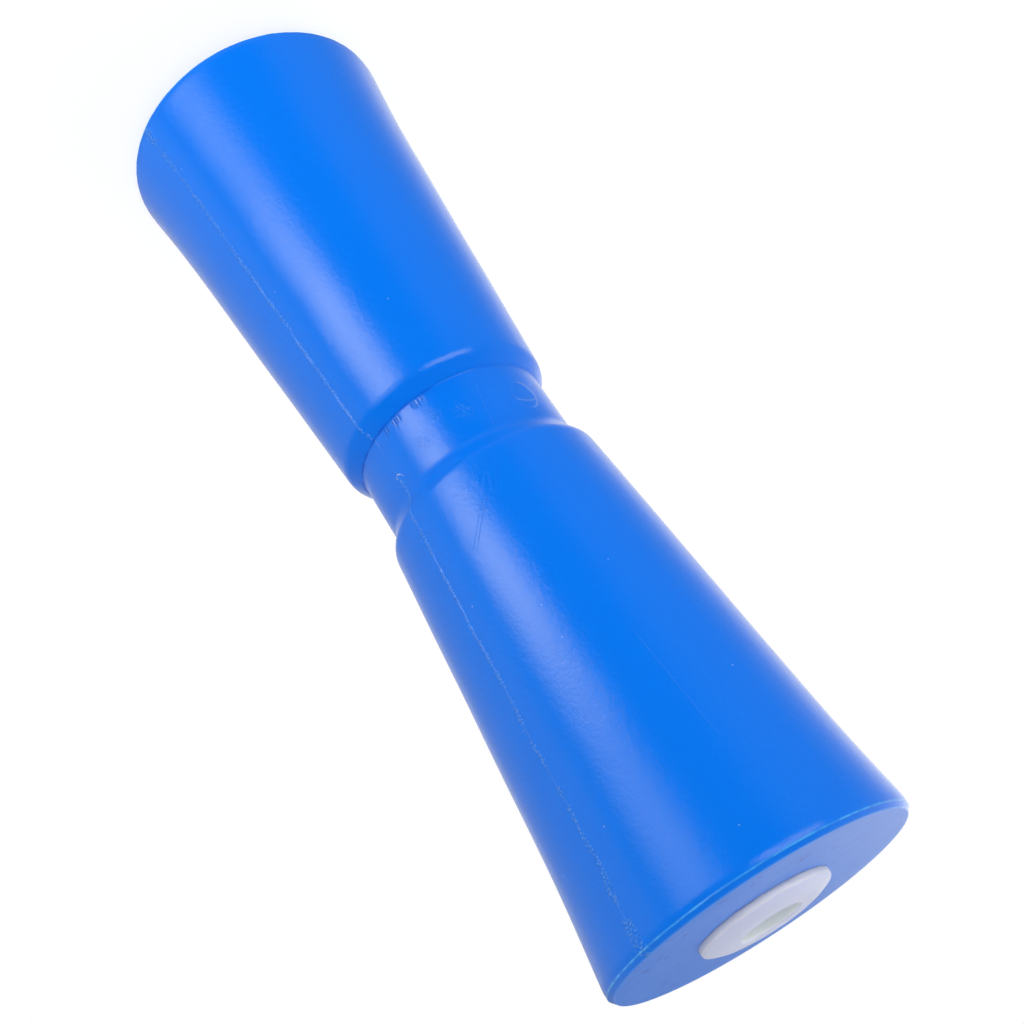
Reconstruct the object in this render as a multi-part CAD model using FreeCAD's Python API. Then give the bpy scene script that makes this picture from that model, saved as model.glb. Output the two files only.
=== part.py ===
import FreeCAD, Part
import math
import os

# Keel roller for a boat trailer: an hourglass body turned about +Z, with a flanged bush pressed
# into each end. Millimetres. The origin is the centre of the waist, on the spindle's axis.

# Body, the same above and below its waist
body_length = 305.0
end_diameter = 90.0
end_chamfer = 1.5
flare_diameter = 83.9
flare_height = 124.5
flare_radius = 600.0
shoulder_diameter = 67.3
shoulder_height = 16.0
shoulder_round = 6.0
neck_diameter = 60.5
neck_length = 21.8
crease_round = 1.6
hole_diameter = 28.0

# Bush, one in each end
press_clearance = 0.02
barrel_length = 40.0
barrel_lead = 1.0
flange_diameter = 38.6
flange_edge = 2.0
flange_round = 1.2
nose_height = 3.8
nose_round = 14.0
land_diameter = 28.8
mouth_round = 0.8
spindle_bore_diameter = 17.0

# Sizes that follow from the ones above
half_length = body_length / 2
barrel_diameter = hole_diameter - 2 * press_clearance


def on_section(point):
    """The place in the XZ plane of (distance from the axis, height)."""
    across, height = point
    return FreeCAD.Vector(across, 0, height)


def rounded_corner(before, corner, after, radius):
    """The start, middle and end of the arc that rounds a corner, or None where the two runs are in line."""
    back = (before - corner).normalize()
    ahead = (after - corner).normalize()
    half_angle = back.getAngle(ahead) / 2
    if abs(half_angle - math.pi / 2) < 1e-6:
        return None
    longest = 0.49 * min(before.distanceToPoint(corner), after.distanceToPoint(corner))
    reach = min(radius / math.tan(half_angle), longest)
    inward = (back + ahead).normalize()
    true_radius = reach * math.tan(half_angle)
    to_middle = true_radius / math.sin(half_angle) - true_radius
    return corner + back * reach, corner + inward * to_middle, corner + ahead * reach


def turned(outline):
    """The solid made by turning a closed outline of (distance from the axis, height, rounding radius)."""
    corners = [on_section(corner[:2]) for corner in outline]
    arcs = []
    for place, (_, _, radius) in enumerate(outline):
        arc = None
        if radius > 0:
            following = (place + 1) % len(corners)
            arc = rounded_corner(corners[place - 1], corners[place], corners[following], radius)
        arcs.append(arc or (corners[place], None, corners[place]))
    edges = []
    for place, (start, middle, end) in enumerate(arcs):
        came_from = arcs[place - 1][2]
        if came_from.distanceToPoint(start) > 1e-6:
            edges.append(Part.LineSegment(came_from, start).toShape())
        if middle is not None:
            edges.append(Part.Arc(start, middle, end).toShape())
    face = Part.Face(Part.Wire(edges))
    return face.revolve(FreeCAD.Vector(0, 0, 0), FreeCAD.Vector(0, 0, 1), 360)


def roller_body():
    """Cylindrical neck, a rounded shoulder each side of it, then a cone that flares to the chamfered end."""
    upper_half = [
        (neck_diameter / 2, neck_length / 2, crease_round),
        (shoulder_diameter / 2, shoulder_height, shoulder_round),
        (flare_diameter / 2, flare_height, flare_radius),
        (end_diameter / 2, half_length - end_chamfer, 0),
        (end_diameter / 2 - end_chamfer, half_length, 0),
        (hole_diameter / 2, half_length, 0),
    ]
    lower_half = [(across, -height, radius) for across, height, radius in reversed(upper_half)]
    return turned(upper_half + lower_half)


def upper_bush():
    """Barrel pressed into the hole, a flange seated on the end face and a nose that stands proud of it."""
    seat = half_length
    return turned(
        [
            (barrel_diameter / 2, seat, 0),
            (flange_diameter / 2, seat, 0),
            (flange_diameter / 2, seat + flange_edge, flange_round),
            (land_diameter / 2, seat + nose_height, nose_round),
            (spindle_bore_diameter / 2, seat + nose_height, mouth_round),
            (spindle_bore_diameter / 2, seat - barrel_length, 0),
            (barrel_diameter / 2 - barrel_lead, seat - barrel_length, 0),
            (barrel_diameter / 2, seat - barrel_length + barrel_lead, 0),
        ]
    )


def lower_bush():
    """The same bush turned over, in the other end."""
    return upper_bush().rotated(FreeCAD.Vector(0, 0, 0), FreeCAD.Vector(1, 0, 0), 180)


os.makedirs("parts", exist_ok=True)
for piece in (roller_body, upper_bush, lower_bush):
    piece().exportStep(f"parts/{piece.__name__}.step")
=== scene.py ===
import bpy
import math
import numpy as np
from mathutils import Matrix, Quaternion, Vector


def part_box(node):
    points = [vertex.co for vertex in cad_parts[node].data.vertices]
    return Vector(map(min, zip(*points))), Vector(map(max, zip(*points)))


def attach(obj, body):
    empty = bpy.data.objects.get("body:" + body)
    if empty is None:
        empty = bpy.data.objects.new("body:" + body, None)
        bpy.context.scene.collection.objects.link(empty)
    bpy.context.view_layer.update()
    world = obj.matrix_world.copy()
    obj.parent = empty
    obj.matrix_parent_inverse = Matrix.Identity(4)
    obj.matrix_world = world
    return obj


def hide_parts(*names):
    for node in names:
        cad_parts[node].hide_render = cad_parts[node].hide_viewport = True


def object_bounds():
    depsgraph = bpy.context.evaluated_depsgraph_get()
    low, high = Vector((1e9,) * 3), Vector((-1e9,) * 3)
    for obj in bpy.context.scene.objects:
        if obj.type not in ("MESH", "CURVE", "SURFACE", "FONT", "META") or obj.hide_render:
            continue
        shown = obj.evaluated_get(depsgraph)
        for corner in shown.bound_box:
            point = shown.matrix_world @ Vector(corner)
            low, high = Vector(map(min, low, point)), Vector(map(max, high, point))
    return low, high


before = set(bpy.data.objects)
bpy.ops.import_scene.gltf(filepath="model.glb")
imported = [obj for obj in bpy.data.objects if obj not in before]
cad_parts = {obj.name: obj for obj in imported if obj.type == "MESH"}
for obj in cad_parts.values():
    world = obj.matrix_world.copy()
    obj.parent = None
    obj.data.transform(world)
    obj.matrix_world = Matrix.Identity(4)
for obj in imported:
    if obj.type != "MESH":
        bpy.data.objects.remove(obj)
cad_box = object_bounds()

# Units: metres throughout, with MM for sizes that are easier read in millimetres
MM = 0.001

# Sizes of the body. Its length and its end radius come from the CAD part in model.glb
body_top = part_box("roller_body")[1]
HALF_LENGTH = body_top.z
END_RADIUS = body_top.x
END_CHAMFER = 1.5 * MM
FLARE_RADIUS_AT_BEND = 41.95 * MM
FLARE_HEIGHT = 124.5 * MM
FLARE_ROUND = 600 * MM
SHOULDER_RADIUS = 33.65 * MM
SHOULDER_HEIGHT = 16 * MM
SHOULDER_ROUND = 6 * MM
NECK_RADIUS = 30.25 * MM
NECK_HALF_LENGTH = 10.9 * MM
UPPER_CREASE_ROUND = 6.5 * MM
LOWER_CREASE_ROUND = 0.4 * MM
HOLE_RADIUS = 14 * MM
CORNER_ROUND = 0.15 * MM
RIM_SAG = 0.25 * MM
RIM_SAG_LENGTH = 1.9 * MM
RIM_ROUND = 12 * MM

# Sizes of a bush. Its flange and the height of its nose come from the CAD part in model.glb
bush_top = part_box("upper_bush")[1]
bush_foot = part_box("upper_bush")[0]
FLANGE_RADIUS = bush_top.x
NOSE_TOP = bush_top.z
BARREL_FOOT = bush_foot.z
BARREL_RADIUS = 13.98 * MM
BARREL_LEAD = 1 * MM
FLANGE_EDGE = 2 * MM
FLANGE_ROUND = 1.2 * MM
LAND_RADIUS = 14.4 * MM
NOSE_ROUND = 14 * MM
MOUTH_ROUND = 0.8 * MM
BORE_RADIUS = 8.5 * MM

# Where the marks of the mould and of handling lie: angle in degrees round the axis, height in metres
PARTING_ANGLE = -50.6
BACK_PARTING_ANGLE = 129.4
SCAR_ANGLE = -50.3
SCAR_HEIGHT = 3.2 * MM
IMPRINT_ANGLE = -141.0
IMPRINT_HEIGHT = 0.0
IMPRINT_RADIUS = 4.4 * MM
GROOVE_HEIGHT = 11.2 * MM

# How far those marks stand proud or are sunk, and half their widths, in metres
FLASH_RISE = 0.15 * MM
FLASH_HALF_WIDTH = 0.4 * MM
SECOND_FLASH_RISE = 0.13 * MM
SECOND_FLASH_HALF_WIDTH = 0.36 * MM
FLASH_WANDER = 0.3 * MM
FLASH_GAP = 0.5 * MM
FLASH_GAP_START = 60 * MM
CALM_FLASH_SHARE = 0.35
CALM_FLASH_MIDDLE = -2 * MM
CALM_FLASH_REACH = 6 * MM
SCAR_RISE = 0.25 * MM
SCAR_HALF_WIDTH = 0.55 * MM
SCAR_HALF_LENGTH = 1.6 * MM
SCAR_CURVE = 0.264 / MM
IMPRINT_RISE = 0.13 * MM
IMPRINT_HALF_WIDTH = 0.8 * MM
INNER_RING_RISE = 0.05 * MM
INNER_RING_HALF_WIDTH = 0.5 * MM
INNER_RING_SHARE = 0.75
IMPRINT_DISH = 0.06 * MM
GROOVE_DEPTH = 0.14 * MM
GROOVE_HALF_WIDTH = 0.5 * MM
BURR_RISE = 0.12 * MM
BURR_HALF_WIDTH = 0.3 * MM

# Waviness of the soft moulding: waves to a turn, waves along it in radians to the metre, and phase
WAVE_RISE = 0.018 * MM
WAVES = ((2, 55, 0.3), (3, -80, 1.9), (5, 120, 4.1), (7, -150, 2.6))


# Outlines and turned meshes


def rounded(corners, arc_steps=6):
    """Points of an outline of (distance from the axis, height, rounding radius), its corners made arcs."""
    points = []
    last = len(corners) - 1
    for place, (across, height, radius) in enumerate(corners):
        corner = Vector((across, height))
        if radius == 0 or place in (0, last):
            points.append(corner)
            continue
        before = Vector(corners[place - 1][:2]) - corner
        after = Vector(corners[place + 1][:2]) - corner
        half_angle = before.angle(after) / 2
        reach = min(radius / math.tan(half_angle), 0.49 * min(before.length, after.length))
        true_radius = reach * math.tan(half_angle)
        inward = (before.normalized() + after.normalized()).normalized()
        centre = corner + inward * (true_radius / math.sin(half_angle))
        start = (corner + before.normalized() * reach - centre).normalized()
        end = (corner + after.normalized() * reach - centre).normalized()
        for step in range(arc_steps + 1):
            points.append(centre + start.slerp(end, step / arc_steps) * true_radius)
    return points


def finer(points, longest):
    """The same outline with each run cut so that no step is over longest(middle of the run)."""
    cut = [points[0]]
    for start, end in zip(points, points[1:]):
        steps = max(1, math.ceil((end - start).length / longest(start.lerp(end, 0.5))))
        cut += [start.lerp(end, step / steps) for step in range(1, steps + 1)]
    return np.array([tuple(point) for point in cut])


def outward(outline):
    """Unit normals of a closed outline that runs from top to bottom on its outer side."""
    along = np.roll(outline, -1, axis=0) - np.roll(outline, 1, axis=0)
    normals = np.stack([-along[:, 1], along[:, 0]], axis=1)
    return normals / np.linalg.norm(normals, axis=1, keepdims=True)


def turned_mesh(name, outline, angles, relief):
    """A closed outline turned about +Z, raised along its normals by relief(angles, outline), in metres."""
    normals = outward(outline)
    height = relief(angles, outline)
    across = outline[:, :1] + normals[:, :1] * height
    up = outline[:, 1:] + normals[:, 1:] * height
    spots = np.stack([across * np.cos(angles), across * np.sin(angles), up], axis=-1)
    rows, columns = height.shape
    index = np.arange(rows * columns).reshape(rows, columns)
    below = np.roll(index, -1, axis=0)
    beside = np.roll(index, -1, axis=1)
    corner = np.roll(below, -1, axis=1)
    faces = np.stack([index, below, corner, beside], axis=-1).reshape(-1, 4)
    mesh = bpy.data.meshes.new(name)
    mesh.from_pydata(spots.reshape(-1, 3).tolist(), [], faces.tolist())
    mesh.shade_smooth()
    add_wrap_map(mesh, outline, angles, faces, columns)
    piece = bpy.data.objects.new(name, mesh)
    bpy.context.scene.collection.objects.link(piece)
    return piece


def add_wrap_map(mesh, outline, angles, faces, columns):
    """UVs that unroll the side: U is the turn, from -180 degrees, and V the height over the length."""
    column = faces % columns
    row = faces // columns
    turn = angles[column] / (2 * math.pi) + 0.5
    at_seam = (column == 0) & (column.max(axis=1, keepdims=True) == columns - 1)
    turn = np.where(at_seam, turn + 1, turn)
    rise = outline[row, 1] / (2 * HALF_LENGTH) + 0.5
    layer = mesh.uv_layers.new(name="wrap")
    layer.data.foreach_set("uv", np.stack([turn, rise], axis=-1).ravel())


def columns_denser_at(*zones, step=3.0):
    """Angles round the axis in radians: one each step degrees, closer in zones of (from, to, step)."""
    degrees = list(np.arange(-180, 180, step))
    for low, high, close in zones:
        degrees = [angle for angle in degrees if not low <= angle <= high]
        degrees += list(np.arange(low, high, close))
    return np.radians(np.sort(degrees))


def wander(seed, spacing, where):
    """Smooth random values between -1 and 1 along a line, one knot each spacing."""
    knots = np.random.RandomState(seed).uniform(-1, 1, 4000)
    place = np.asarray(where) / spacing + 1000
    low = np.floor(place).astype(int)
    share = place - low
    share = share * share * (3 - 2 * share)
    return knots[low] * (1 - share) + knots[low + 1] * share


# The moulded body


def half_outline(crease_round):
    """Corners of the body from its hole over one rim to its neck. The creases by the neck differ."""
    rim_top = HALF_LENGTH - END_CHAMFER
    return [
        (HOLE_RADIUS, HALF_LENGTH, 0),
        (END_RADIUS - END_CHAMFER, HALF_LENGTH, CORNER_ROUND),
        (END_RADIUS - RIM_SAG, rim_top, CORNER_ROUND),
        (END_RADIUS - 0.1 * MM, rim_top - RIM_SAG_LENGTH, RIM_ROUND),
        (FLARE_RADIUS_AT_BEND, FLARE_HEIGHT, FLARE_ROUND),
        (SHOULDER_RADIUS, SHOULDER_HEIGHT, SHOULDER_ROUND),
        (NECK_RADIUS, NECK_HALF_LENGTH, crease_round),
    ]


def body_outline():
    upper = half_outline(UPPER_CREASE_ROUND)
    under = half_outline(LOWER_CREASE_ROUND)
    lower = [(across, -height, radius) for across, height, radius in reversed(under)]
    outer = finer(rounded(upper + lower), body_step)
    hole_wall = np.array([[HOLE_RADIUS, height * MM] for height in range(-150, 151, 50)])
    return np.concatenate([outer, hole_wall])


def body_step(place):
    """The longest step of the outline: short at the rims and round the neck, long on the end faces."""
    across, height = place.x, abs(place.y)
    if height > HALF_LENGTH - 0.01 * MM and across < END_RADIUS - 2 * END_CHAMFER:
        return 4 * MM
    if height > HALF_LENGTH - 4 * MM:
        return 0.16 * MM
    if abs(place.y + GROOVE_HEIGHT) < 1 * MM:
        return 0.1 * MM
    if abs(place.y - SCAR_HEIGHT) < 2 * MM:
        return 0.18 * MM
    return (0.35 if height < 19 * MM else 1.2) * MM


def ridge(distance, half_width):
    """A soft ridge of height 1 on a line, gone at half_width from it."""
    near = np.clip(1 - np.abs(distance) / half_width, 0, 1)
    return near * near * (3 - 2 * near)


def body_relief(angles, outline):
    """How far the marks of the mould stand proud of the turned form, in metres."""
    across, height = outline[:, :1], outline[:, 1:]
    on_side = (across > NECK_RADIUS - 1 * MM) & (np.abs(height) < HALF_LENGTH - END_CHAMFER)
    degrees = np.degrees(angles)[None, :]

    def arc_from(angle):
        return np.radians(degrees - angle) * across

    # Parting lines: a rough flash, in two thin lines where the halves of the mould stood a little apart
    relief = np.zeros((len(outline), len(angles)))
    apart = FLASH_GAP * np.clip((np.abs(height) - FLASH_GAP_START) / FLASH_GAP_START, 0, 1)
    for seed, angle in ((3, PARTING_ANGLE), (43, BACK_PARTING_ANGLE)):
        from_line = arc_from(angle) + FLASH_WANDER * wander(seed, 28 * MM, height)
        rough = 0.5 + 0.4 * wander(seed + 1, 1.6 * MM, height) + 0.4 * wander(seed + 2, 7 * MM, height)
        beside = 0.4 + 0.5 * wander(seed + 3, 1.9 * MM, height) + 0.4 * wander(seed + 4, 12 * MM, height)
        off_neck = np.abs(height - CALM_FLASH_MIDDLE) > CALM_FLASH_REACH
        calmer = np.where(off_neck, 1.0, CALM_FLASH_SHARE)
        first = ridge(from_line - apart, FLASH_HALF_WIDTH)
        second = ridge(from_line + apart, SECOND_FLASH_HALF_WIDTH)
        relief += FLASH_RISE * calmer * np.clip(rough, 0, 1.2) * first
        relief += SECOND_FLASH_RISE * calmer * np.clip(beside, 0, 1.2) * second

    # Scar of the gate beside the waist, a small crescent on the parting line
    scar_across = arc_from(SCAR_ANGLE)
    from_scar = height - SCAR_HEIGHT - SCAR_CURVE * scar_across**2
    in_scar = np.clip(1 - np.abs(scar_across) / SCAR_HALF_LENGTH, 0, 1)
    relief += SCAR_RISE * ridge(from_scar, SCAR_HALF_WIDTH) * np.sqrt(in_scar)

    # Round imprint of an ejector pin on the neck
    imprint_across = arc_from(IMPRINT_ANGLE)
    from_centre = np.hypot(imprint_across, (height - IMPRINT_HEIGHT) * 1.1)
    side_weight = 0.75 - 0.25 * np.clip(imprint_across / IMPRINT_RADIUS, -1, 1)
    inner_radius = INNER_RING_SHARE * IMPRINT_RADIUS
    relief += IMPRINT_RISE * side_weight * ridge(from_centre - IMPRINT_RADIUS, IMPRINT_HALF_WIDTH)
    relief += INNER_RING_RISE * side_weight * ridge(from_centre - inner_radius, INNER_RING_HALF_WIDTH)
    relief -= IMPRINT_DISH * np.clip(1 - from_centre / IMPRINT_RADIUS, 0, 1) ** 0.5

    # A fine groove in the crease below the neck
    relief -= GROOVE_DEPTH * ridge(height + GROOVE_HEIGHT, GROOVE_HALF_WIDTH)

    # Slight waviness of a soft moulding, that dies out towards the rims
    calm = np.clip((HALF_LENGTH - 2 * MM - np.abs(height)) / (15 * MM), 0, 1)
    for turns, rise, phase in WAVES:
        relief += WAVE_RISE * calm * np.sin(turns * angles[None, :] + rise * height + phase)

    # Thin burr along the outer corner of each rim
    burr = np.abs(np.abs(height) - (HALF_LENGTH - END_CHAMFER))
    uneven = 0.6 + 0.4 * wander(21, 3.0, degrees) + 0.3 * wander(22, 11.0, degrees)
    relief = np.where(on_side, relief, 0)
    on_rim = ridge(burr, BURR_HALF_WIDTH) * (across > NECK_RADIUS)
    return relief + BURR_RISE * np.clip(uneven, 0.1, 1) * on_rim


body_angles = columns_denser_at(
    (PARTING_ANGLE - 2.6, PARTING_ANGLE + 2.6, 0.2),
    (IMPRINT_ANGLE - 12, IMPRINT_ANGLE + 12, 0.8),
    (BACK_PARTING_ANGLE - 2.4, BACK_PARTING_ANGLE + 2.4, 0.3),
)
body = turned_mesh("moulded_body", body_outline(), body_angles, body_relief)


# The bushes


def bush_outline():
    seat = HALF_LENGTH
    outer = [
        (BORE_RADIUS, BARREL_FOOT + 1 * MM, 0),
        (BORE_RADIUS, NOSE_TOP, MOUTH_ROUND),
        (LAND_RADIUS, NOSE_TOP, NOSE_ROUND),
        (FLANGE_RADIUS, seat + FLANGE_EDGE, FLANGE_ROUND),
        (FLANGE_RADIUS, seat, 0.1 * MM),
        (BARREL_RADIUS, seat, 0.1 * MM),
        (BARREL_RADIUS, BARREL_FOOT + BARREL_LEAD, 0.1 * MM),
        (BARREL_RADIUS - BARREL_LEAD, BARREL_FOOT, 0.1 * MM),
        (BORE_RADIUS, BARREL_FOOT, 0),
    ]
    return finer(rounded(outer, 10), lambda place: (0.6 if place.y > seat else 4.0) * MM)


def bush_relief(angles, outline):
    """A faint unevenness of the moulded nose, in metres."""
    across, height = outline[:, :1], outline[:, 1:]
    wave = np.sin(2 * angles[None, :] + 0.8) + 0.6 * np.sin(3 * angles[None, :] + 260 * across)
    return np.where((height > HALF_LENGTH + 1 * MM) & (across > LAND_RADIUS), -0.02 * MM * (1 + wave), 0)


bush_angles = columns_denser_at()
upper_bush = turned_mesh("moulded_upper_bush", bush_outline(), bush_angles, bush_relief)
lower_bush = turned_mesh("moulded_lower_bush", bush_outline(), bush_angles, bush_relief)
lower_bush.data.transform(Quaternion((1, 0, 0), math.pi).to_matrix().to_4x4())


# Materials


class Nodes:
    """A node tree, with short calls to add nodes and join them."""

    def __init__(self, tree):
        self.tree = tree

    def node(self, kind, settings=None, **inputs):
        """A node, its settings, and its inputs by name, or by place as _0, as values or sockets to join."""
        made = self.tree.nodes.new(kind)
        for key, value in (settings or {}).items():
            setattr(made, key, value)
        for key, value in inputs.items():
            self.feed(made.inputs[int(key[1:]) if key.startswith("_") else key.replace("_", " ")], value)
        return made

    def feed(self, socket, value):
        if isinstance(value, bpy.types.NodeSocket):
            self.tree.links.new(value, socket)
        else:
            socket.default_value = value

    def math(self, operation, *values):
        made = self.tree.nodes.new("ShaderNodeMath")
        made.operation = operation
        for socket, value in zip(made.inputs, values):
            self.feed(socket, value)
        return made.outputs[0]

    def vector(self, operation, first, second, output="Vector"):
        made = self.node("ShaderNodeVectorMath", {"operation": operation}, _0=first, _1=second)
        return made.outputs[output]

    def total(self, values):
        result = values[0]
        for value in values[1:]:
            result = self.math("ADD", result, value)
        return result

    def product(self, *values):
        result = values[0]
        for value in values[1:]:
            result = self.math("MULTIPLY", result, value)
        return result

    def noise(self, where, scale, detail=2.0, roughness=0.5):
        made = self.node("ShaderNodeTexNoise", Vector=where, Scale=scale)
        made.inputs["Detail"].default_value = detail
        made.inputs["Roughness"].default_value = roughness
        return made.outputs["Fac"]

    def flat_noise(self, where, scale):
        settings = {"noise_dimensions": "2D"}
        made = self.node("ShaderNodeTexNoise", settings, Vector=where, Scale=scale, Detail=1.0)
        return made.outputs["Fac"]

    def line_noise(self, where, scale):
        settings = {"noise_dimensions": "1D"}
        made = self.node("ShaderNodeTexNoise", settings, W=where, Scale=scale, Detail=1.0)
        return made.outputs["Fac"]

    def stretched(self, where, scale):
        return self.vector("MULTIPLY", where, scale)

    def soft_step(self, value, low, high, bottom=0.0, top=1.0):
        """From bottom to top, smoothly, as the value goes from low to high. Low may be the larger one."""
        settings = {"interpolation_type": "SMOOTHSTEP"}
        made = self.node("ShaderNodeMapRange", settings, _0=value, _1=low, _2=high)
        self.feed(made.inputs[3], bottom)
        self.feed(made.inputs[4], top)
        return made.outputs[0]

    def blend(self, share, first, second):
        settings = {"data_type": "RGBA"}
        return self.node("ShaderNodeMix", settings, Factor=share, _6=first, _7=second).outputs[2]

    def parts(self, vector):
        return self.node("ShaderNodeSeparateXYZ", _0=vector).outputs

    def absolute(self, value):
        return self.math("ABSOLUTE", value)

    def distance(self, value, other):
        return self.absolute(self.math("SUBTRACT", value, other))

    def bump(self, height, distance):
        return self.node("ShaderNodeBump", Height=height, Distance=distance).outputs[0]


def new_material(name):
    material = bpy.data.materials.new(name)
    material.use_nodes = True
    return material, Nodes(material.node_tree), material.node_tree.nodes["Principled BSDF"]


# Fine marks on the blue skin, drawn on the unrolled side: angle in degrees, height in millimetres.
# A stroke is (from, to, half width in mm, height of its bump)
MM_PER_DEGREE = 0.6
STROKES = (
    ((-89, 29), (-70, 43), 0.16, 1.0),
    ((-87.5, 28.3), (-69.5, 41.6), 0.14, 0.8),
    ((-110, 125), (-106, 80), 0.22, 0.7),
    ((-117.5, -10), (-111, 12), 0.2, 0.8),
    ((-54.4, 4.9), (-53.4, 3.6), 0.34, 1.8),
    ((-53.6, 3.7), (-50.6, 2.5), 0.42, 3.0),
    ((-50.8, 2.6), (-48.8, 4.0), 0.34, 2.4),
)
# A fan of fine creases is (centre, first and last direction in degrees, nearest and farthest reach in mm)
FANS = (
    ((-117.5, -13.0), (228, 274), (4.0, 19.0)),
    ((-112.0, 8.0), (38, 72), (11.0, 27.0)),
)
# A cluster of nicks is (angle of its middle, half its width in degrees)
NICK_CLUSTERS = ((-84, 5.5), (-69, 4.5), (-60.5, 2.5))
# A patch of small blisters is (centre, radius in mm)
BLISTERS = (((-103, 0.5), 5.0), ((-88.5, -3.0), 3.4), ((-75, 1.5), 4.0), ((-84, 33), 4.0))

# Flash in the painted highlight and the bump, along the sheet in millimetres
FLASH_DRIFT = 1.6
FLASH_BY_RIM = (128, 150)
FLASH_REACH = (0.9, 1.9)
FLAKES_PER_MM = 1.15
THREAD_HALF_WIDTH = 0.30
THREAD_SHARE = 0.22
NECK_MIDDLE = -2.5
NECK_REACH = (5.5, 8.0)

# Nicks: along the sheet in millimetres, heights as of a stroke
NICKS_PER_MM = 1.5
NICK_SUNK = -2.4
NICK_RAISED = 1.7
NICK_FOOT = (-10.8, -10.5)
NICK_REACH = (-9.6, -11.0)
NICK_RAGGEDNESS = -3.4

# Ring of the ejector pin in the painted highlight and the bump: place and sizes on the sheet in millimetres
RING_HEIGHT = 0.8
RING_RADIUS = 4.9
ARC_HEIGHT = -9.0
ARC_RADIUS = 12.0
ARC_SHARE = 0.7

# Fans and blisters: how close their creases and blobs lie, and how the creases drift outwards
FAN_SPOKES_PER_RADIAN = 9.0
FAN_DRIFT = 0.09
FAN_SCALE = 2.4
BLISTERS_PER_MM = 1.15

# Scales of the noises, in periods to the metre
GRAIN_SCALE = 1500
PEEL_SCALE = 560
RIPPLE_SCALE = 170
PATCH_SCALE = 45
RIM_SCALE = 260
SPECK_SCALE = 190
STREAK_SCALES = (60, 1500, 1)
BLOTCH_SCALES = (200, 260, 200)
MOTTLE_SCALE = 240

# Heights of the bumps in millimetres
RIPPLE_BUMP = 0.050
PEEL_BUMP = 0.065
GRAIN_BUMP = 0.048
FAN_BUMP = 0.042
MARK_BUMP = 0.060
FLASH_BUMP = 0.20

# Colours, linear
SKIN_BLUE = (0.002, 0.200, 0.95, 1)
# Cut face blues, paler than the skin partly as painted light for the end faces' dimmer light and sheen
CUT_DARK_WITH_PAINTED_LIGHT = (0.05, 0.235, 0.86, 1)
CUT_PALE_WITH_PAINTED_LIGHT = (0.11, 0.30, 0.93, 1)
NYLON = (0.66, 0.69, 0.91, 1)
# Painted light: paler nylon on the flange's rim and side wall, and in the shaded bore
NYLON_RIM_PAINTED_LIGHT = (0.93, 0.90, 1, 1)
NYLON_BORE_PAINTED_LIGHT = (0.85, 0.90, 1, 1)

# Paints that lie over the blue, as (colour, the most of it that shows)
FLECK_PAINT = ((0.04, 0.09, 0.62, 1), 0.6)
# The burr, edge and flash paints are painted highlights
BURR_HIGHLIGHT_PAINT = ((0.09, 0.50, 1, 1), 0.85)
EDGE_HIGHLIGHT_PAINT = ((0.10, 0.33, 0.98, 1), 0.8)
SPECK_PAINT = ((0.35, 0.6, 1, 1), 0.5)
FLASH_HIGHLIGHT_PAINT = ((0.16, 0.45, 1, 1), 0.55)
# Painted highlight on raised strokes, the ring of the ejector pin and the blisters
HIGHLIGHT_PAINT_BLUE = (0.45, 0.65, 1, 1)
HIGHLIGHT_PAINT_SHARE = 0.8
# Painted shade in sunk strokes and in the groove below the neck
SHADE_PAINT_BLUE = (0.001, 0.11, 0.75, 1)
SHADE_PAINT_SHARE = 0.7
# Shares of the painted highlight on the ring of the ejector pin and on the blisters
RING_HIGHLIGHT_SHARE = 0.25
BLISTER_HIGHLIGHT_SHARE = 0.06

# Roughness of the skin, and what the patches and the cut add to it
SKIN_ROUGHNESS = 0.13
PATCH_ROUGHNESS = 0.08
CUT_ROUGHNESS = 0.17
POLYURETHANE_IOR = 1.5
POLYURETHANE_TINT = (1, 0.92, 0.5, 1)
NYLON_ROUGHNESS = 0.55
NYLON_DEPTH = 2.4 * MM


def on_sheet(angle, height):
    return (angle * MM_PER_DEGREE, height, 0)


def stroke_height(shader, sheet, start, end, half_width, height):
    """A straight raised or sunk stroke, softly ended."""
    first, last = Vector(on_sheet(*start)), Vector(on_sheet(*end))
    middle, along = (first + last) / 2, (last - first).normalized()
    reach = (last - first).length / 2
    offset = shader.vector("SUBTRACT", sheet, tuple(middle))
    lengthwise = shader.vector("DOT_PRODUCT", offset, tuple(along), "Value")
    sideways = shader.vector("DOT_PRODUCT", offset, (-along.y, along.x, 0), "Value")
    inside = shader.soft_step(shader.absolute(lengthwise), reach, reach * 0.6)
    near = shader.soft_step(shader.absolute(sideways), half_width, 0.0)
    return shader.product(inside, near, height)


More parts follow.
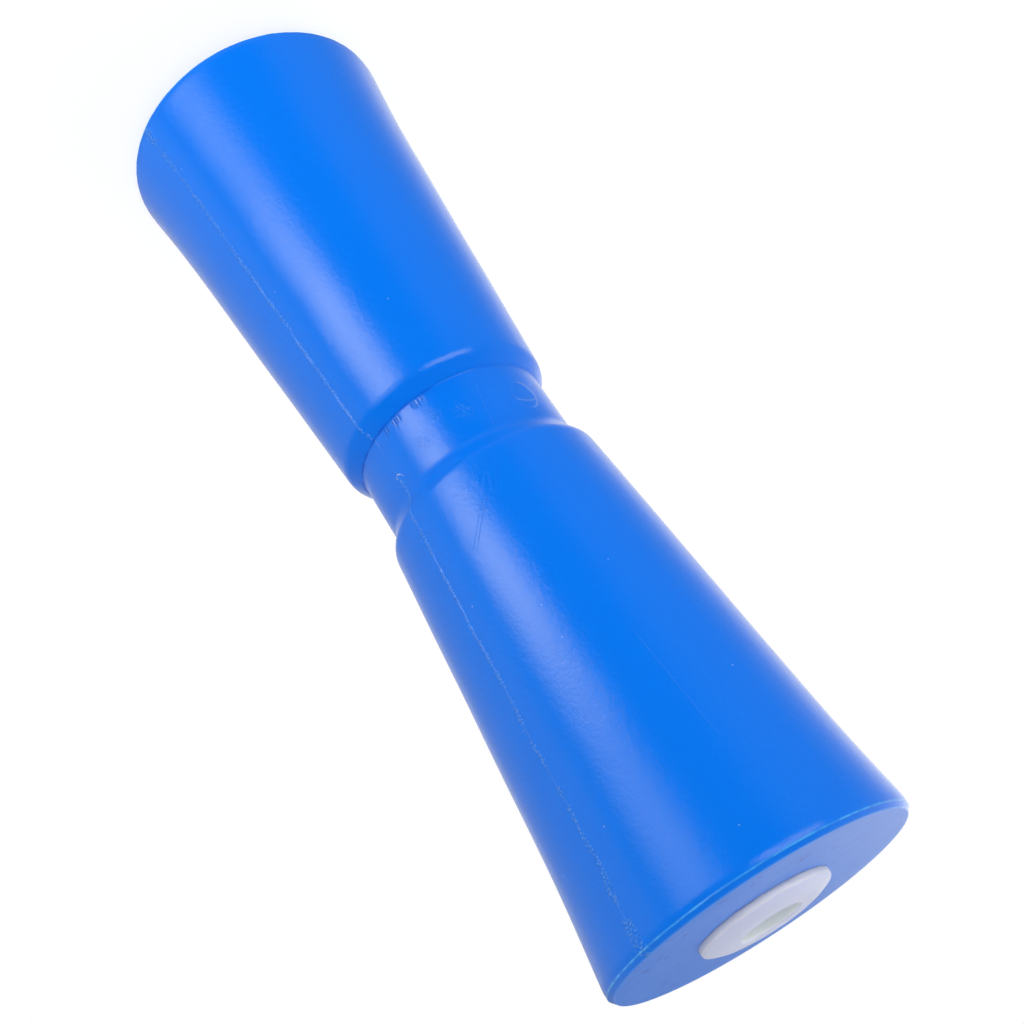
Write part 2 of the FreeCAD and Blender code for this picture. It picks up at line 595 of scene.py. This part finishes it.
def flash_height(shader, sheet):
    """The flakes that the mould's parting leaves on both sides, on a thin thread, rougher by the rims."""
    across, along, _ = shader.parts(sheet)
    half_turn = 180 * MM_PER_DEGREE
    turned = shader.math("SUBTRACT", across, PARTING_ANGLE * MM_PER_DEGREE)
    to_nearer = shader.math("WRAP", turned, half_turn / 2, -half_turn / 2)
    drift = shader.math("MULTIPLY_ADD", shader.line_noise(along, 0.06), FLASH_DRIFT, -FLASH_DRIFT / 2)
    from_line = shader.absolute(shader.math("ADD", to_nearer, drift))
    from_waist = shader.distance(along, NECK_MIDDLE)
    width = shader.soft_step(from_waist, *FLASH_BY_RIM, *FLASH_REACH)
    near = shader.soft_step(shader.math("DIVIDE", from_line, width), 1.0, 0.3)
    settings = {"voronoi_dimensions": "2D"}
    cells = shader.node("ShaderNodeTexVoronoi", settings, Vector=sheet, Scale=FLAKES_PER_MM)
    flakes = shader.soft_step(cells.outputs["Distance"], 0.48, 0.16)
    gaps = shader.soft_step(shader.line_noise(along, 0.16), 0.36, 0.52, 0.12)
    thread = shader.soft_step(from_line, THREAD_HALF_WIDTH, 0.08, 0.0, THREAD_SHARE)
    off_neck = shader.soft_step(from_waist, *NECK_REACH, 0.2)
    chain = shader.math("MAXIMUM", shader.product(near, flakes, gaps), thread)
    return shader.product(chain, off_neck)


def nick_height(shader, sheet):
    """Short nicks in a few clusters, raised and sunk by turns, that stand on the crease below the neck."""
    across, along, _ = shader.parts(sheet)
    comb = shader.soft_step(shader.line_noise(across, NICKS_PER_MM), 0.36, 0.66, NICK_SUNK, NICK_RAISED)
    clusters = []
    for middle, half_width in NICK_CLUSTERS:
        from_middle = shader.distance(across, middle * MM_PER_DEGREE)
        edge = half_width * MM_PER_DEGREE
        clusters.append(shader.soft_step(from_middle, edge, edge * 0.5))
    foot = shader.soft_step(along, *NICK_FOOT)
    ragged = shader.math("MULTIPLY_ADD", shader.line_noise(across, 0.7), NICK_RAGGEDNESS, along)
    reach = shader.soft_step(ragged, *NICK_REACH)
    return shader.product(comb, shader.total(clusters), foot, reach)


def imprint_height(shader, sheet):
    """The round print of an ejector pin: a ring that is clearer on one side, with an arc across it."""
    _, from_centre, offset = polar(shader, sheet, (IMPRINT_ANGLE, RING_HEIGHT))
    ring = shader.soft_step(shader.distance(from_centre, RING_RADIUS), 0.55, 0.1)
    clearer = shader.soft_step(shader.parts(offset)[0], 1.5, -4.0, 0.06, 1.0)
    _, from_below, _ = polar(shader, sheet, (IMPRINT_ANGLE, ARC_HEIGHT))
    inside = shader.soft_step(from_centre, 5.2, 4.2)
    arc = shader.soft_step(shader.distance(from_below, ARC_RADIUS), 0.45, 0.1)
    return shader.total([shader.product(ring, clearer), shader.product(arc, inside, ARC_SHARE)])


def polar(shader, sheet, centre):
    """Direction in radians and distance in millimetres from a point of the sheet, and the offset itself."""
    offset = shader.vector("SUBTRACT", sheet, on_sheet(*centre))
    across, along, _ = shader.parts(offset)
    direction = shader.math("ARCTAN2", along, across)
    return direction, shader.vector("LENGTH", offset, (0, 0, 0), "Value"), offset


def fan_height(shader, sheet, centre, directions, reach):
    """Fine creases that spread from one point."""
    direction, distance, _ = polar(shader, sheet, centre)
    middle = (math.radians(directions[0]) + math.radians(directions[1])) / 2
    half = math.radians(directions[1] - directions[0]) / 2
    turned = shader.math("SUBTRACT", direction, math.remainder(middle, 2 * math.pi))
    wrapped = shader.absolute(shader.math("WRAP", turned, -math.pi, math.pi))
    inside = shader.soft_step(wrapped, half, half * 0.5)
    middle_reach, half_reach = (reach[0] + reach[1]) / 2, (reach[1] - reach[0]) / 2
    within = shader.soft_step(shader.distance(distance, middle_reach), half_reach, half_reach * 0.5)
    spokes = shader.node(
        "ShaderNodeCombineXYZ",
        _0=shader.product(direction, FAN_SPOKES_PER_RADIAN),
        _1=shader.math("MULTIPLY_ADD", distance, FAN_DRIFT, centre[0]),
    ).outputs[0]
    creases = shader.soft_step(shader.flat_noise(spokes, FAN_SCALE), 0.42, 0.62)
    return shader.product(creases, inside, within)


def blister_height(shader, sheet):
    """Patches of small uneven blisters, fewer towards their edges."""
    blobs = shader.soft_step(shader.flat_noise(sheet, BLISTERS_PER_MM), 0.52, 0.68)
    patches = []
    for centre, radius in BLISTERS:
        distance = shader.vector("DISTANCE", sheet, on_sheet(*centre), "Value")
        patches.append(shader.soft_step(distance, radius, radius * 0.2))
    return shader.product(blobs, shader.total(patches))


def painted(shader, under, paint, *masks):
    """A colour with a paint over it, where all the masks are 1."""
    colour, share = paint
    return shader.blend(shader.product(*masks, share), under, colour)


def skin_marks(shader, place, sheet, skin):
    """The skin's whole bump, and by themselves its strokes, the painted highlight of the ring and blisters,
    and its flash.
    """
    grain = shader.noise(place, GRAIN_SCALE, 1, 0.7)
    imprint = imprint_height(shader, sheet)
    peel = shader.noise(place, PEEL_SCALE, 1, 0.55)
    ripple = shader.noise(place, RIPPLE_SCALE, 1, 0.5)
    strokes = [stroke_height(shader, sheet, *stroke) for stroke in STROKES]
    strokes = shader.total(strokes + [nick_height(shader, sheet)])
    fans = [fan_height(shader, sheet, *fan) for fan in FANS]
    blisters = blister_height(shader, sheet)
    flash = shader.product(flash_height(shader, sheet), skin)
    bumps = (
        (ripple, RIPPLE_BUMP),
        (shader.product(peel, skin), PEEL_BUMP),
        (shader.product(grain, skin), GRAIN_BUMP),
        (imprint, MARK_BUMP),
        (shader.total(fans), FAN_BUMP),
        (blisters, MARK_BUMP),
        (strokes, MARK_BUMP),
        (flash, FLASH_BUMP),
    )
    normal = shader.bump(shader.total([shader.product(mark, height) for mark, height in bumps]), MM)
    # Painted highlight on the ring of the ejector pin and on the blisters
    painted_ring_highlight = shader.product(imprint, RING_HIGHLIGHT_SHARE)
    painted_highlights = shader.math("MAXIMUM", painted_ring_highlight, shader.product(blisters, BLISTER_HIGHLIGHT_SHARE))
    return normal, strokes, painted_highlights, flash


def cut_blue_with_painted_light(shader, place):
    """The cut face: blade streaks along X, a few dark flecks, and blues that are partly painted light."""
    streaks = shader.noise(shader.stretched(place, STREAK_SCALES), 1.0, 2, 0.6)
    blotches = shader.noise(shader.stretched(place, BLOTCH_SCALES), 1.0, 1, 0.5)
    streaked = shader.blend(shader.soft_step(streaks, 0.3, 0.7), CUT_DARK_WITH_PAINTED_LIGHT, CUT_PALE_WITH_PAINTED_LIGHT)
    return painted(shader, streaked, FLECK_PAINT, shader.soft_step(blotches, 0.70, 0.74))


def dust_specks(shader, place):
    """Small round specks in a fifth of the cells."""
    cells = shader.node("ShaderNodeTexVoronoi", Vector=place, Scale=SPECK_SCALE).outputs
    rare = shader.math("GREATER_THAN", shader.parts(cells["Color"])[0], 0.8)
    return shader.product(shader.math("LESS_THAN", cells["Distance"], 0.045), rare)


def blue_polyurethane():
    """Glossy moulded skin with fine marks; the end faces are cut and matt, and paler partly as painted
    light.
    """
    material, shader, surface = new_material("blue_polyurethane")
    coordinates = shader.node("ShaderNodeTexCoord").outputs
    place = coordinates["Object"]
    unrolled = shader.vector("SUBTRACT", coordinates["UV"], (0.5, 0.5, 0))
    sheet = shader.stretched(unrolled, (360 * MM_PER_DEGREE, 2 * HALF_LENGTH / MM, 0))
    level = shader.parts(place)[2]
    height = shader.absolute(level)
    cut = shader.soft_step(height, HALF_LENGTH - 0.09 * MM, HALF_LENGTH - 0.01 * MM)
    skin = shader.math("SUBTRACT", 1, cut)
    from_axis = shader.vector("LENGTH", shader.stretched(place, (1, 1, 0)), (0, 0, 0), "Value")
    normal, strokes, painted_highlights, flash = skin_marks(shader, place, sheet, skin)
    blue = shader.blend(cut, SKIN_BLUE, cut_blue_with_painted_light(shader, place))

    # Painted highlights along the thin burr on the rim's outer corner and on the sharp edge of the cut face
    uneven = shader.soft_step(shader.noise(place, RIM_SCALE, 2, 0.6), 0.35, 0.6, 0.35, 1.0)
    from_corner = shader.distance(height, HALF_LENGTH - END_CHAMFER)
    burr = shader.product(shader.soft_step(from_corner, 0.30 * MM, 0.10 * MM), uneven)
    from_edge = shader.distance(from_axis, END_RADIUS - END_CHAMFER)
    edge = shader.soft_step(from_edge, 0.35 * MM, 0.12 * MM)
    by_face = shader.soft_step(height, HALF_LENGTH - 0.5 * MM, HALF_LENGTH - 0.2 * MM)
    blue = painted(shader, blue, BURR_HIGHLIGHT_PAINT, burr)
    blue = painted(shader, blue, EDGE_HIGHLIGHT_PAINT, edge, by_face)
    blue = painted(shader, blue, SPECK_PAINT, dust_specks(shader, place), skin)
    # Painted highlight on the flakes of the flash
    blue = painted(shader, blue, FLASH_HIGHLIGHT_PAINT, flash)

    # Painted highlight on raised strokes, the ring and the blisters; painted shade in sunk strokes and in
    # the groove below the neck
    raised = shader.math("MAXIMUM", shader.soft_step(strokes, 0.3, 2.6, 0.0, HIGHLIGHT_PAINT_SHARE), painted_highlights)
    sunk = shader.soft_step(strokes, -0.3, -2.4, 0.0, SHADE_PAINT_SHARE)
    turn = shader.parts(sheet)[0]
    on_left = shader.soft_step(turn, -100 * MM_PER_DEGREE, -88 * MM_PER_DEGREE, 0.15, 0.85)
    from_groove = shader.distance(level, -GROOVE_HEIGHT)
    painted_groove_shade = shader.product(shader.soft_step(from_groove, 0.50 * MM, 0.16 * MM), uneven, on_left)
    blue = shader.blend(raised, blue, HIGHLIGHT_PAINT_BLUE)
    blue = shader.blend(shader.math("MAXIMUM", sunk, painted_groove_shade), blue, SHADE_PAINT_BLUE)
    shader.feed(surface.inputs["Base Color"], blue)
    patches = shader.product(shader.noise(place, PATCH_SCALE, 1, 0.5), PATCH_ROUGHNESS)
    gloss = shader.total([patches, shader.product(cut, CUT_ROUGHNESS), SKIN_ROUGHNESS])
    shader.feed(surface.inputs["Roughness"], gloss)
    surface.inputs["IOR"].default_value = POLYURETHANE_IOR
    surface.inputs["Specular Tint"].default_value = POLYURETHANE_TINT
    shader.feed(surface.inputs["Normal"], normal)
    return material


def white_nylon():
    """Slightly waxy and translucent, with painted light on the rim and side wall of the flange and in the
    bore.
    """
    material, shader, surface = new_material("white_nylon")
    place = shader.node("ShaderNodeTexCoord").outputs["Object"]
    mottle = shader.noise(place, MOTTLE_SCALE, 3, 0.55)
    from_axis = shader.vector("LENGTH", shader.stretched(place, (1, 1, 0)), (0, 0, 0), "Value")
    # Painted light in the bore, and a painted highlight on the flange's rim and side wall
    painted_light_in_bore = shader.soft_step(from_axis, BORE_RADIUS + 0.3 * MM, BORE_RADIUS + 0.05 * MM)
    on_rim = shader.soft_step(from_axis, FLANGE_RADIUS - 0.5 * MM, FLANGE_RADIUS - 0.05 * MM)
    tone = shader.blend(on_rim, NYLON, NYLON_RIM_PAINTED_LIGHT)
    shader.feed(surface.inputs["Base Color"], shader.blend(painted_light_in_bore, tone, NYLON_BORE_PAINTED_LIGHT))
    surface.inputs["Roughness"].default_value = NYLON_ROUGHNESS
    surface.inputs["Subsurface Weight"].default_value = 1.0
    surface.inputs["Subsurface Radius"].default_value = (1, 1, 1)
    surface.inputs["Subsurface Scale"].default_value = NYLON_DEPTH
    shader.feed(surface.inputs["Normal"], shader.bump(mottle, 0.05 * MM))
    return material


body.data.materials.append(blue_polyurethane())
nylon = white_nylon()
for bush in (upper_bush, lower_bush):
    bush.data.materials.append(nylon)

for piece, node, slot in (
    (body, "roller_body", "blue_polyurethane"),
    (upper_bush, "upper_bush", "white_bush"),
    (lower_bush, "lower_bush", "white_bush"),
):
    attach(piece, "root")
    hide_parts(node)


# Stage: a pale floor, the light of a white studio and two softboxes

# The floor's glow leaves it white where it is lit, and pale where the object's shadow falls
FLOOR_SIZE = 1.2
FLOOR_HEIGHT = cad_box[0].z
FLOOR_COLOUR = (0.3, 0.3, 0.31, 1)
FLOOR_GLOW = 0.80
WHITE = (1, 1, 1, 1)

# Radiance of the studio by azimuth in degrees, below the horizon and above it
BRIGHTEST = 2.0
LOW_STUDIO = (
    (-180, 0.30), (-150, 0.33), (-136, 0.20), (-124, 0.02), (-94, 0.02), (-86, 0.36), (-36, 0.45),
    (-28, 0.50), (-18, 0.68), (-8, 0.70), (6, 0.58), (48, 0.58), (62, 0.78), (90, 1.10), (114, 1.34),
    (128, 1.22), (142, 0.75), (156, 0.48), (170, 0.30), (180, 0.30),
)
HIGH_STUDIO = (
    (-180, 0.45), (-150, 0.12), (-100, 0.04), (-40, 0.04), (-20, 0.20), (10, 0.30), (45, 0.45),
    (70, 0.30), (84, 0.26), (91, 0.55), (99, 1.60), (114, 1.80), (130, 1.10), (160, 0.60), (180, 0.45),
)
ZENITH_RADIANCE = 0.15
UNDERSIDE_RADIANCE = 0.30
NADIR_RADIANCE = 0.02

# Where those zones blend, by the rise of the ray: the sine of its elevation
HORIZON_BLEND = (-0.32, -0.05)
NADIR_BLEND = (-0.60, -0.82)
UNDERSIDE_BLEND = (-0.90, -0.985)
ZENITH_BLEND = (0.70, 0.92)

# Fill lamps, which light without a gleam: azimuth and elevation in degrees, strength, spread in degrees
FILLS = (
    (-150, 20, 0.45, 130), (-90, 20, 0.25, 130), (-30, 20, 0.45, 130), (40, 20, 0.45, 130),
    (110, 20, 0.60, 130), (-150, -50, 0.60, 50), (-90, -50, 0.35, 50), (-30, -50, 0.50, 50),
    (60, -50, 0.50, 50), (-90, 60, 0.75, 40),
)

# Softbox beside the camera, part of the studio's light: azimuth in degrees, rise of its middle
SIDE_BOX_AZIMUTH = -127
SIDE_BOX_HALF_WIDTH = 26
SIDE_BOX_RISE = 0.06
SIDE_BOX_HALF_RISE = 0.24
SIDE_BOX_RADIANCE = 3.2

# Softbox below the camera's other side, a real panel
PANEL_AZIMUTH = -62.0
PANEL_DISTANCE = 0.5
PANEL_HEIGHT = -0.275
PANEL_WIDTH = 0.53
PANEL_LENGTH = 0.72
PANEL_RADIANCE = 5.0
PANEL_RIM_SHARE = 0.30
PANEL_RIM_FADE = (0.5, 0.38)
PANEL_HOT_HALF = 0.24


def plane(name, width, length):
    x, y = width / 2, length / 2
    mesh = bpy.data.meshes.new(name)
    mesh.from_pydata([(-x, -y, 0), (x, -y, 0), (x, y, 0), (-x, y, 0)], [], [(0, 1, 2, 3)])
    made = bpy.data.objects.new(name, mesh)
    bpy.context.scene.collection.objects.link(made)
    return made


def pale_floor():
    """A white sheet that takes the object's soft shadow. Only the camera sees it, so light passes."""
    floor = plane("floor", FLOOR_SIZE, FLOOR_SIZE)
    floor.location.z = FLOOR_HEIGHT
    floor.visible_glossy = False
    floor.visible_diffuse = False
    floor.visible_shadow = False
    floor.visible_transmission = False
    material, _, surface = new_material("pale_floor")
    surface.inputs["Base Color"].default_value = FLOOR_COLOUR
    surface.inputs["Roughness"].default_value = 1.0
    surface.inputs["Specular IOR Level"].default_value = 0.0
    surface.inputs["Emission Color"].default_value = WHITE
    surface.inputs["Emission Strength"].default_value = FLOOR_GLOW
    floor.data.materials.append(material)


def radiance_by_azimuth(sky, azimuth_share, table):
    """A colour ramp round the horizon, from a table of (degrees, radiance)."""
    ramp = sky.node("ShaderNodeValToRGB", Fac=azimuth_share)
    elements = ramp.color_ramp.elements
    while len(elements) < len(table):
        elements.new(0.5)
    for element, (degrees, radiance) in zip(elements, table):
        element.position = degrees / 360 + 0.5
        element.color = (radiance / BRIGHTEST,) * 3 + (1,)
    return sky.product(ramp.outputs["Color"], BRIGHTEST)


def studio_world():
    """White to the camera. Other rays see the studio's light by azimuth, darker overhead and below."""
    world = bpy.data.worlds.new("studio")
    world.use_nodes = True
    bpy.context.scene.world = world
    sky = Nodes(world.node_tree)
    x, y, rise = sky.parts(sky.node("ShaderNodeTexCoord").outputs["Generated"])
    azimuth = sky.math("ARCTAN2", y, x)
    share = sky.math("MULTIPLY_ADD", azimuth, 0.5 / math.pi, 0.5)
    low = radiance_by_azimuth(sky, share, LOW_STUDIO)
    high = radiance_by_azimuth(sky, share, HIGH_STUDIO)
    low_share = sky.soft_step(rise, *reversed(HORIZON_BLEND))
    nadir_share = sky.soft_step(rise, *NADIR_BLEND)
    underside = sky.soft_step(rise, *UNDERSIDE_BLEND, UNDERSIDE_RADIANCE, NADIR_RADIANCE)
    high_share = sky.soft_step(rise, *HORIZON_BLEND)
    zenith_share = sky.soft_step(rise, *ZENITH_BLEND)
    parts = [
        sky.product(low, low_share, sky.math("SUBTRACT", 1, nadir_share)),
        sky.product(nadir_share, underside),
        sky.product(high, high_share, sky.math("SUBTRACT", 1, zenith_share)),
        sky.product(zenith_share, ZENITH_RADIANCE),
    ]
    from_box = sky.distance(azimuth, math.radians(SIDE_BOX_AZIMUTH))
    half_width = math.radians(SIDE_BOX_HALF_WIDTH)
    from_rise = sky.distance(rise, SIDE_BOX_RISE)
    in_width = sky.soft_step(from_box, half_width, half_width * 0.75)
    in_rise = sky.soft_step(from_rise, SIDE_BOX_HALF_RISE, SIDE_BOX_HALF_RISE * 0.6)
    parts.append(sky.product(in_width, in_rise, SIDE_BOX_RADIANCE))
    studio = sky.node("ShaderNodeBackground", Strength=sky.total(parts)).outputs[0]
    white = sky.node("ShaderNodeBackground", Color=WHITE).outputs[0]
    to_camera = sky.node("ShaderNodeLightPath").outputs["Is Camera Ray"]
    seen = sky.node("ShaderNodeMixShader", _0=to_camera, _1=studio, _2=white).outputs[0]
    sky.feed(world.node_tree.nodes["World Output"].inputs["Surface"], seen)


def front_panel():
    """A large softbox with a hot middle, that no camera sees."""
    panel = plane("softbox", PANEL_WIDTH, PANEL_LENGTH)
    azimuth = math.radians(PANEL_AZIMUTH)
    out = Vector((math.cos(azimuth), math.sin(azimuth), 0))
    panel.location = out * PANEL_DISTANCE + Vector((0, 0, PANEL_HEIGHT))
    panel.rotation_mode = "QUATERNION"
    panel.rotation_quaternion = (-out).to_track_quat("Z", "Y")
    panel.visible_camera = False
    material, shader, _ = new_material("softbox")
    place = shader.node("ShaderNodeTexCoord").outputs["Generated"]
    x, y, _ = shader.parts(shader.vector("SUBTRACT", place, (0.5, 0.5, 0)))
    across = shader.soft_step(shader.absolute(x), 0.5, 0.0)
    from_middle = shader.absolute(y)
    rim = shader.soft_step(from_middle, *PANEL_RIM_FADE, 0.0, PANEL_RIM_SHARE)
    hot = shader.soft_step(from_middle, PANEL_HOT_HALF, 0.0, 0.0, 1 - PANEL_RIM_SHARE)
    glow = shader.product(across, shader.total([rim, hot]), PANEL_RADIANCE)
    front = shader.math("SUBTRACT", 1, shader.node("ShaderNodeNewGeometry").outputs["Backfacing"])
    lamp = shader.node("ShaderNodeEmission", Strength=shader.product(glow, front)).outputs[0]
    shader.feed(material.node_tree.nodes["Material Output"].inputs["Surface"], lamp)
    panel.data.materials.append(material)


def fill_lamp(azimuth, elevation, strength, spread):
    lamp = bpy.data.lights.new("fill", "SUN")
    lamp.energy = strength
    lamp.angle = math.radians(spread)
    lamp.cycles.use_multiple_importance_sampling = False
    holder = bpy.data.objects.new("fill", lamp)
    bpy.context.scene.collection.objects.link(holder)
    turn, lift = math.radians(azimuth), math.radians(elevation)
    towards = Vector((math.cos(turn) * math.cos(lift), math.sin(turn) * math.cos(lift), math.sin(lift)))
    holder.rotation_mode = "QUATERNION"
    holder.rotation_quaternion = towards.to_track_quat("Z", "Y")
    holder.visible_glossy = False


pale_floor()
studio_world()
front_panel()
for fill in FILLS:
    fill_lamp(*fill)


# Camera, at the photograph's viewing angle

CAMERA_PLACE = Vector((0, -379.75, 213.62)) * MM
CAMERA_TARGET = Vector((-2.35, 0, 20.5)) * MM
CAMERA_ROLL = 146.571
CAMERA_LENS = 51.466
SENSOR_WIDTH = 36

camera_data = bpy.data.cameras.new("camera")
camera_data.lens = CAMERA_LENS
camera_data.sensor_width = SENSOR_WIDTH
camera_data.clip_start = 0.01
camera = bpy.data.objects.new("camera", camera_data)
bpy.context.scene.collection.objects.link(camera)
camera.location = CAMERA_PLACE
camera.rotation_mode = "QUATERNION"
level_view = (CAMERA_TARGET - CAMERA_PLACE).to_track_quat("-Z", "Y")
camera.rotation_quaternion = level_view @ Quaternion((0, 0, 1), math.radians(CAMERA_ROLL))
bpy.context.scene.camera = camera
bpy.context.scene.view_settings.view_transform = "Standard"
